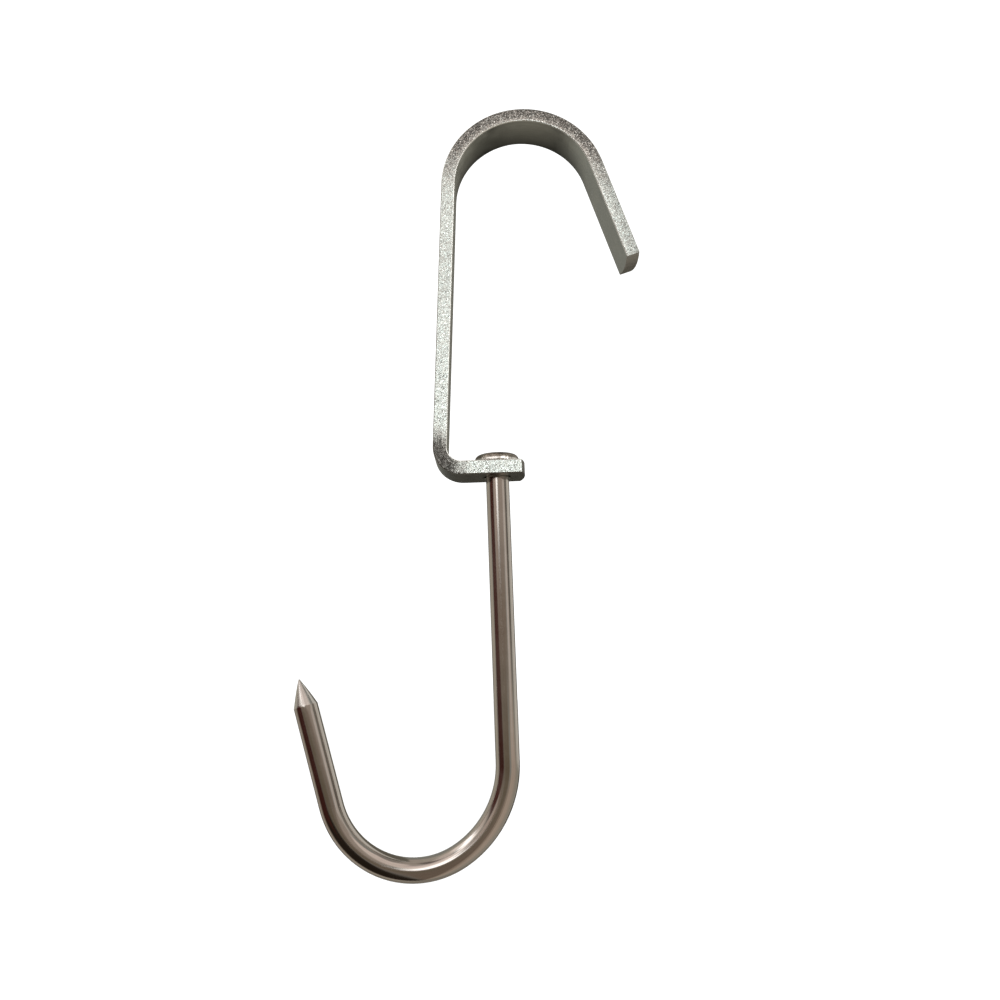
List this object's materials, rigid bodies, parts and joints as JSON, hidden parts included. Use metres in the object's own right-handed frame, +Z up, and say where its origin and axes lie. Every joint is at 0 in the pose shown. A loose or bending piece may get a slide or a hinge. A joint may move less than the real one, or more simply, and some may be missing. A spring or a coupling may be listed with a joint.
{
  "type": "meat hook",
  "caption": "Rail hook of bent flat bar with a pointed J hook that swivels and lifts in the bar's foot under a retaining button, for hanging meat from a tubular rail.",
  "frame": {"origin": "on the axis of the rail that the arch sits on, half way across the bar's width", "axes": "+Z up, along the hook's length when it hangs; +Y along the rail, away from the front; +X from the shank towards the arm's free end"},
  "size_m": [0.1541, 0.02, 0.3325],
  "materials": {
    "galvanised_bar": "zinc-coated flat steel bar, satin broad faces and grainy, sparkling narrow faces",
    "polished_rod": "bright drawn stainless round bar, smooth with fine lengthwise drawing lines, ground point",
    "button_steel": "turned stainless button, mottled and scuffed"
  },
  "bodies": {
    "rail_hook": {"rail_hook": "galvanised_bar"},
    "swivel_button": {"swivel_button": "button_steel"},
    "j_hook": {"j_hook": "polished_rod"}
  },
  "joints": [
    {"name": "hook_lift", "type": "slide", "parent": "rail_hook", "child": "swivel_button", "axis": [0, 0, 1], "range_m": [0, 0.112]},
    {"name": "hook_swivel", "type": "hinge", "parent": "swivel_button", "child": "j_hook", "pos_m": [-0.0166, 0, -0.1246], "axis": [0, 0, 1], "continuous": true}
  ]
}
